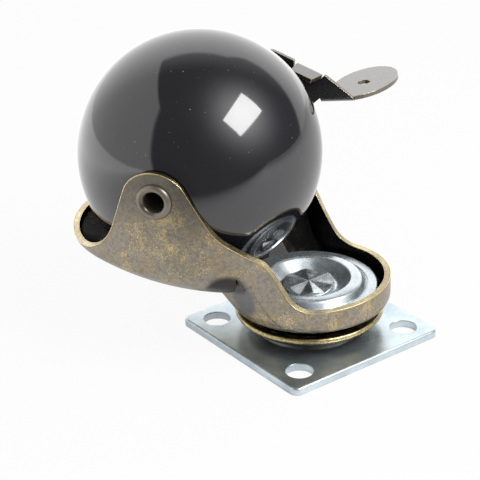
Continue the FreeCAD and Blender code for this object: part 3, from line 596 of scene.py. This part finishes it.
@dataclass
class SwivelBearing:
    """Pan, two rows of loose balls, disc and kingpin."""

    disc: BrightZinc = field(default_factory=lambda: BrightZinc(
        name="pressed_bright_zinc", colour="d8dfe3", shade="bac4c9", roughness=0.22, spread=0.1, cloud_mm=3.0,
        metallic=0.76))
    star: BrightZinc = field(default_factory=lambda: BrightZinc(
        name="staked_bright_zinc", colour="dce1e3", shade="9fa6aa", roughness=0.17, spread=0.14,
        cloud_mm=1.6, ripple=0.35, ripple_mm=1.5, soften_mm=0.3, metallic=0.8))
    pan: AntiqueBronzePlate = field(default_factory=lambda: AntiqueBronzePlate(
        name="antique_bronze_pan", body="77726a", cool="5d5a56", tan="7d6f55", fleck="c9b27c",
        edge_mm=0.5, fleck_cut=0.60))
    pan_rim: AntiqueBronzePlate = field(default_factory=lambda: AntiqueBronzePlate(
        name="rubbed_bronze_pan_rim", body="ab9d78", cool="867a5e", tan="b9a36f", fleck="e6d19a",
        edge_mm=0.5, fleck_cut=0.5, roughness=0.3))
    pan_rim_from: float = 15.0 * MM
    balls: TurnedSteel = field(default_factory=lambda: TurnedSteel(
        name="greased_bearing_steel", colour="8b8c8e", deep="6f7072", roughness=0.08, spin=Spin.AROUND_SWIVEL))

    def dress(self) -> None:
        """Finish the bearing's pieces, and the pan's rim in the bronze that tumbling has rubbed."""
        dress(["race_pan"], self.pan.build())
        mesh = bpy.data.objects["race_pan"].data
        mesh.materials.append(self.pan_rim.build())
        for face in mesh.polygons:
            face.material_index = int(face.center.xy.length > self.pan_rim_from)
        dress(["bearing_disc"], self.disc.build())
        dress(["kingpin"], self.star.build())
        dress(["lower_ball_row", "upper_ball_row"], self.balls.build())


@dataclass
class DrawnHood:
    """Deep-drawn bronze hood with the rolled axle."""

    axle: TurnedSteel = field(default_factory=lambda: TurnedSteel(
        colour="888075", deep="5f584e", roughness=0.22, metallic=0.6))
    inside: NearBlackInnerBronze = field(default_factory=NearBlackInnerBronze)
    rim: AntiqueBronzePlate = field(default_factory=lambda: AntiqueBronzePlate(
        name="rubbed_bronze_rim", body="b3a585", cool="8f836a", tan="bfa976", fleck="ecdaa9",
        edge="f6e3ad", edge_mm=0.45, fleck_cut=0.52, roughness=0.3))
    sheet_finish: AntiqueBronzePlate = field(default_factory=AntiqueBronzePlate)
    sheet: float = 1.3 * MM
    rim_from: float = 10.5 * MM
    lip_from: float = 22.3 * MM
    keel_half: float = 0.5 * MM
    straight_within: float = 0.006
    upward_from: float = 0.05
    skin_share: float = 0.05
    reach_share: float = 2.0

    def is_rim(self, face: bpy.types.MeshPolygon) -> bool:
        """Tell whether a face lies on the cut rim, which runs straight across the hood.

        The floor of the bowl runs straight across too, but only along its lowest line, the keel.

        Args:
            face: face of the hood.

        Returns:
            Whether it is a rim face.
        """
        across = Vector((-math.sin(FORK_TURN), math.cos(FORK_TURN), 0.0))
        along = Vector((math.cos(FORK_TURN), math.sin(FORK_TURN), 0.0))
        on_keel = abs(face.center.dot(across)) < self.keel_half and face.center.dot(along) > 0.0
        if on_keel and face.center.z < self.lip_from:
            return False
        straight = abs(face.normal.dot(across)) < self.straight_within
        return straight and face.normal.z > self.upward_from and face.center.z > self.rim_from

    def blacken_inside(self) -> None:
        """Give the hood's inner faces the near-black finish and its cut rim the rubbed one.

        A face is a wall of the sheet where the sheet's other side is about one thickness behind
        it, and it is an inner wall where it faces the line from cup to ball.
        """
        mesh = bpy.data.objects["hood"].data
        mesh.materials.append(self.inside.build())
        mesh.materials.append(self.rim.build())
        points = [vertex.co.copy() for vertex in mesh.vertices]
        walls = BVHTree.FromPolygons(points, [list(face.vertices) for face in mesh.polygons])
        spine = BALL_CENTRE - CUP_CENTRE
        inner = 0
        for face in mesh.polygons:
            share = (face.center - CUP_CENTRE).dot(spine) / spine.length_squared
            middle = CUP_CENTRE + spine * min(max(share, 0.0), 1.0)
            start = face.center - face.normal * (self.sheet * self.skin_share)
            through = walls.ray_cast(start, -face.normal, self.sheet * self.reach_share)[3]
            faces_in = face.normal.dot(middle - face.center) > 0.0
            if self.is_rim(face):
                face.material_index = RIM_SLOT
            elif through is not None and faces_in:
                face.material_index = INNER_SLOT
                inner += 1
        LOG.info("hood has %d inner faces in %s", inner, self.inside.name)

    def dress(self) -> None:
        """Finish the hood and the axle."""
        dress(["hood"], self.sheet_finish.build())
        self.blacken_inside()
        dress(["axle_rivet"], self.axle.build())


@dataclass
class RollingBall:
    """Polished black ball."""

    finish: PolishedResin = field(default_factory=PolishedResin)

    def dress(self) -> None:
        """Finish the ball."""
        dress(["ball_wheel"], self.finish.build())


@dataclass
class BrakeLever:
    """Stamped lever with its pivot and washer."""

    finish: AntiqueBronzePlate = field(default_factory=lambda: AntiqueBronzePlate(
        name="antique_bronze_stamping", body="7b7a79", cool="747372", tan="797469", fleck="98917f",
        top_shade="797877", edge="d2c09a", edge_mm=0.35, soften_mm=0.15, fleck_cut=0.66, roughness=0.26))
    pivot: TurnedSteel = field(default_factory=lambda: TurnedSteel(
        name="blackened_rivet_steel", colour="7a756c", deep="4e4a44"))

    def dress(self) -> None:
        """Finish the lever, its pivot and its washer."""
        dress(["brake_lever"], self.finish.build())
        dress(["brake_pivot", "brake_washer"], self.pivot.build())


@dataclass(frozen=True)
class DarkRoom:
    """Unlit part of the studio behind the camera, as the castor's glossy surfaces see it.

    It is two corners joined. Straight edges bound each corner, given as the normal of a plane
    through the castor and the softness of the edge. The rest of the studio is a pale sweep.
    """

    corners: tuple[tuple[tuple[Vector, float], ...], ...] = (
        ((Vector((-0.629, -0.590, 0.505)), 0.03), (Vector((-0.661, 0.469, 0.586)), 0.10)),
        ((Vector((-0.808, 0.192, 0.558)), 0.10), (Vector((-0.960, -0.175, 0.219)), 0.08)),
    )
    pale: float = 1.15
    dark: float = 0.16

    def share(self, tree: Tree, way: Socket) -> Socket:
        """How far a direction lies in the dark room, from 0 to 1.

        Args:
            tree: node tree that gets the nodes.
            way: direction of length 1.

        Returns:
            The share.
        """
        insides = []
        for corner in self.corners:
            sides = []
            for normal, softness in corner:
                reach = add_node(tree, "ShaderNodeVectorMath", {"operation": "DOT_PRODUCT"}, {0: way, 1: normal})
                side = add_node(tree, "ShaderNodeMapRange", {"interpolation_type": "SMOOTHSTEP"},
                                {"Value": reach.outputs["Value"], "From Min": -softness / 2,
                                 "From Max": softness / 2})
                sides.append(side.outputs["Result"])
            inside = add_node(tree, "ShaderNodeMath", {"operation": "MULTIPLY"}, {0: sides[0], 1: sides[1]})
            insides.append(inside.outputs["Value"])
        return add_node(tree, "ShaderNodeMath", {"operation": "MAXIMUM"},
                        {0: insides[0], 1: insides[1]}).outputs["Value"]


@dataclass(frozen=True)
class StudioWhite:
    """Matt white laminate of the table: white to the camera, and it keeps the castor's shadow."""

    name: str = "matt_white_laminate"
    colour: str = "f2f2f2"
    grain: str = "efefef"
    shown: float = 0.93
    lift_share: float = 0.35
    lift: float = 1.6
    sweep_share: float = 0.45
    sweep_lift: float = 0.7
    sweep_between: Span = (0.02, 0.2)
    unlit_between: Span = (0.03, 0.15)
    far_between: Span = (0.1, 1.2)
    far_most: float = 0.6
    grain_mm: float = 3.0
    roughness: float = 0.9
    sweep_way: Vector = field(default_factory=lambda: Vector((0.99, 0.13, 0.0)))
    room: DarkRoom = field(default_factory=DarkRoom)
    unlit_way: Vector = field(default_factory=lambda: Vector((-0.5, 0.866, 0.0)))

    def unlit(self, tree: Tree, place: Socket) -> Socket:
        """How far the table lies in the dark: it falls dark towards the camera's room.

        Args:
            tree: node tree that gets the nodes.
            place: Object coordinates.

        Returns:
            The share, from 0 to 1.
        """
        flat = add_node(tree, "ShaderNodeVectorMath", {"operation": "MULTIPLY"}, {0: place, 1: (1.0, 1.0, 0.0)})
        way = add_node(tree, "ShaderNodeVectorMath", {"operation": "NORMALIZE"}, {0: flat.outputs["Vector"]})
        reach = add_node(tree, "ShaderNodeVectorMath", {"operation": "LENGTH"}, {0: flat.outputs["Vector"]})
        along = add_node(tree, "ShaderNodeVectorMath", {"operation": "DOT_PRODUCT"},
                         {0: flat.outputs["Vector"], 1: self.unlit_way})
        unlit = add_node(tree, "ShaderNodeMapRange", {"interpolation_type": "SMOOTHSTEP"},
                         {"Value": along.outputs["Value"], **between(self.unlit_between)})
        far = add_node(tree, "ShaderNodeMapRange", {"interpolation_type": "SMOOTHSTEP"},
                       {"Value": reach.outputs["Value"], **between(self.far_between),
                        "To Max": self.far_most})
        dim = add_node(tree, "ShaderNodeMath", {"operation": "MAXIMUM"},
                       {0: unlit.outputs["Result"], 1: far.outputs["Result"]})
        return add_node(tree, "ShaderNodeMath", {"operation": "MULTIPLY"},
                        {0: dim.outputs["Value"], 1: self.room.share(tree, way.outputs["Vector"])}).outputs["Value"]

    def build(self) -> bpy.types.Material:
        """Make the material.

        Returns:
            The new material.
        """
        material, tree, shader, place = start_material(self.name)
        grain = add_node(tree, "ShaderNodeTexNoise", None,
                         {"Vector": place, "Scale": scale_for(self.grain_mm), "Detail": 2.0})
        tint = add_node(tree, "ShaderNodeMix", {"data_type": "RGBA"},
                        {0: grain.outputs["Fac"], 6: srgb(self.grain), 7: srgb(self.colour)})
        tree.links.new(tint.outputs[2], shader.inputs["Base Color"])
        shader.inputs["Roughness"].default_value = self.roughness
        path = add_node(tree, "ShaderNodeLightPath")
        unlit = self.unlit(tree, place)
        along = add_node(tree, "ShaderNodeVectorMath", {"operation": "DOT_PRODUCT"}, {0: place, 1: self.sweep_way})
        sweep = add_node(tree, "ShaderNodeMapRange", {"interpolation_type": "SMOOTHSTEP"},
                         {"Value": along.outputs["Value"], **between(self.sweep_between)}).outputs["Result"]
        raised = add_node(tree, "ShaderNodeMath", {"operation": "MULTIPLY_ADD"},
                          {0: sweep, 1: self.sweep_lift, 2: self.lift})
        seen = add_node(tree, "ShaderNodeMapRange", None,
                        {"Value": unlit, "To Min": raised.outputs["Value"], "To Max": self.room.dark})
        bright = add_node(tree, "ShaderNodeMix", {"data_type": "FLOAT"},
                          {0: path.outputs["Is Glossy Ray"], 2: 1.0, 3: seen.outputs["Result"]})
        glow = add_node(tree, "ShaderNodeEmission", None,
                        {"Color": (1, 1, 1, 1), "Strength": bright.outputs[0]})
        white = add_node(tree, "ShaderNodeMath", {"operation": "MAXIMUM"},
                         {0: path.outputs["Is Camera Ray"], 1: path.outputs["Is Transmission Ray"]})
        camera_share = add_node(tree, "ShaderNodeMath", {"operation": "MULTIPLY"},
                                {0: white.outputs["Value"], 1: self.shown})
        lit_share = add_node(tree, "ShaderNodeMath", {"operation": "MULTIPLY_ADD"},
                             {0: sweep, 1: self.sweep_share, 2: self.lift_share})
        lifted = add_node(tree, "ShaderNodeMapRange", None,
                          {"Value": unlit, "To Min": lit_share.outputs["Value"]})
        share = add_node(tree, "ShaderNodeMix", {"data_type": "FLOAT"},
                         {0: path.outputs["Is Glossy Ray"], 2: camera_share.outputs["Value"],
                          3: lifted.outputs["Result"]})
        mix = add_node(tree, "ShaderNodeMixShader", None,
                       {0: share.outputs[0], 1: shader.outputs["BSDF"], 2: glow.outputs["Emission"]})
        tree.links.new(mix.outputs["Shader"], tree.nodes["Material Output"].inputs["Surface"])
        return material


@dataclass
class Studio:
    """White table, pale sweep behind the castor, dark room behind the camera and one softbox."""

    camera_at: Vector = field(default_factory=lambda: Vector((-0.24252, 0.19703, 0.17856)))
    right: Vector = field(default_factory=lambda: Vector((-0.60450, -0.79625, -0.02383)))
    up: Vector = field(default_factory=lambda: Vector((0.34536, -0.28892, 0.89289)))
    focal_px: float = 1714.0
    image_px: float = 480.0
    sensor_mm: float = 36.0
    softbox_way: Vector = field(default_factory=lambda: Vector((-0.658, -0.290, 0.695)).normalized())
    softbox_long: Vector = field(default_factory=lambda: Vector((-0.320, 0.488, -0.092)))
    softbox_distance: float = 0.55
    softbox_size: tuple[float, float] = (0.33, 0.205)
    softbox_radiance: float = 9.3
    table_half: float = 3.0
    clip_start: float = 0.01
    glow: float = 2.8
    glow_focus: float = 12.0
    fill: float = 0.55
    backdrop: float = 0.7
    backdrop_between: Span = (0.5, 0.98)
    backdrop_way: Vector = field(default_factory=lambda: Vector((0.76, -0.56, 0.33)).normalized())
    room: DarkRoom = field(default_factory=DarkRoom)

    def lay_floor(self) -> None:
        """Plain white table top under the plate."""
        table = bmesh.new()
        bmesh.ops.create_grid(table, x_segments=2, y_segments=2, size=self.table_half)
        mesh = bpy.data.meshes.new("table_top")
        table.to_mesh(mesh)
        table.free()
        floor = bpy.data.objects.new("table_top", mesh)
        bpy.context.scene.collection.objects.link(floor)
        mesh.materials.append(StudioWhite(room=self.room).build())
        LOG.info("table_top is laid")

    def light_room(self) -> None:
        """World: white to the camera, sweep and dark room in reflections, and an even soft fill."""
        world = bpy.data.worlds.new("studio")
        bpy.context.scene.world = world
        world.use_nodes = True
        tree = world.node_tree
        tree.nodes.clear()
        way = add_node(tree, "ShaderNodeTexCoord").outputs["Generated"]
        seen = add_node(tree, "ShaderNodeMapRange", None,
                        {"Value": self.room.share(tree, way), "To Min": self.room.pale, "To Max": self.room.dark})
        onward = add_node(tree, "ShaderNodeVectorMath", {"operation": "DOT_PRODUCT"},
                          {0: way, 1: self.backdrop_way})
        backdrop = add_node(tree, "ShaderNodeMapRange", {"interpolation_type": "SMOOTHSTEP"},
                            {"Value": onward.outputs["Value"], **between(self.backdrop_between),
                             "To Max": self.backdrop})
        lifted = add_node(tree, "ShaderNodeMath", {"operation": "ADD"},
                          {0: seen.outputs["Result"], 1: backdrop.outputs["Result"]})
        towards = add_node(tree, "ShaderNodeVectorMath", {"operation": "DOT_PRODUCT"},
                           {0: way, 1: self.softbox_way})
        facing = add_node(tree, "ShaderNodeMath", {"operation": "MAXIMUM"}, {0: towards.outputs["Value"], 1: 0.0})
        focus = add_node(tree, "ShaderNodeMath", {"operation": "POWER"},
                         {0: facing.outputs["Value"], 1: self.glow_focus})
        glowing = add_node(tree, "ShaderNodeMath", {"operation": "MULTIPLY_ADD"},
                           {0: focus.outputs["Value"], 1: self.glow, 2: lifted.outputs["Value"]})
        path = add_node(tree, "ShaderNodeLightPath")
        mirrored = add_node(tree, "ShaderNodeMix", {"data_type": "FLOAT"},
                            {0: path.outputs["Is Glossy Ray"], 2: self.fill, 3: glowing.outputs["Value"]})
        shown = add_node(tree, "ShaderNodeMix", {"data_type": "FLOAT"},
                         {0: path.outputs["Is Camera Ray"], 2: mirrored.outputs[0], 3: 1.0})
        back = add_node(tree, "ShaderNodeBackground", None,
                        {"Color": (1, 1, 1, 1), "Strength": shown.outputs[0]})
        add_node(tree, "ShaderNodeOutputWorld", None, {"Surface": back.outputs["Background"]})

    def hang_softbox(self) -> None:
        """One rectangular softbox over the castor's side."""
        way = self.softbox_way
        across = (self.softbox_long - way * self.softbox_long.dot(way)).normalized()
        lamp = bpy.data.lights.new("softbox", "AREA")
        lamp.shape = "RECTANGLE"
        lamp.size, lamp.size_y = self.softbox_size
        lamp.energy = self.softbox_radiance * math.pi * lamp.size * lamp.size_y
        box = bpy.data.objects.new("softbox", lamp)
        bpy.context.scene.collection.objects.link(box)
        axes = Matrix((across, way.cross(across), way)).transposed().to_4x4()
        box.matrix_world = Matrix.Translation(BALL_CENTRE + way * self.softbox_distance) @ axes

    def set_camera(self) -> None:
        """Camera at the photograph's place."""
        lens = bpy.data.cameras.new("photograph")
        lens.sensor_width = self.sensor_mm
        lens.lens = self.focal_px / self.image_px * self.sensor_mm
        lens.clip_start = self.clip_start
        view = bpy.data.objects.new("photograph", lens)
        bpy.context.scene.collection.objects.link(view)
        back = self.right.cross(self.up)
        axes = Matrix((self.right, self.up, back)).transposed().to_4x4()
        view.matrix_world = Matrix.Translation(self.camera_at) @ axes
        bpy.context.scene.camera = view

    def build(self) -> None:
        """Set up the whole studio."""
        bpy.context.scene.view_settings.view_transform = "Standard"
        self.lay_floor()
        self.light_room()
        self.hang_softbox()
        self.set_camera()


def main() -> None:
    """Dress the castor piece by piece and set up the studio round it."""
    logging.basicConfig(level=logging.INFO, format="%(message)s")
    FixingPlate().dress()
    SwivelBearing().dress()
    DrawnHood().dress()
    RollingBall().dress()
    BrakeLever().dress()
    Studio().build()


if __name__ == "__main__":
    main()
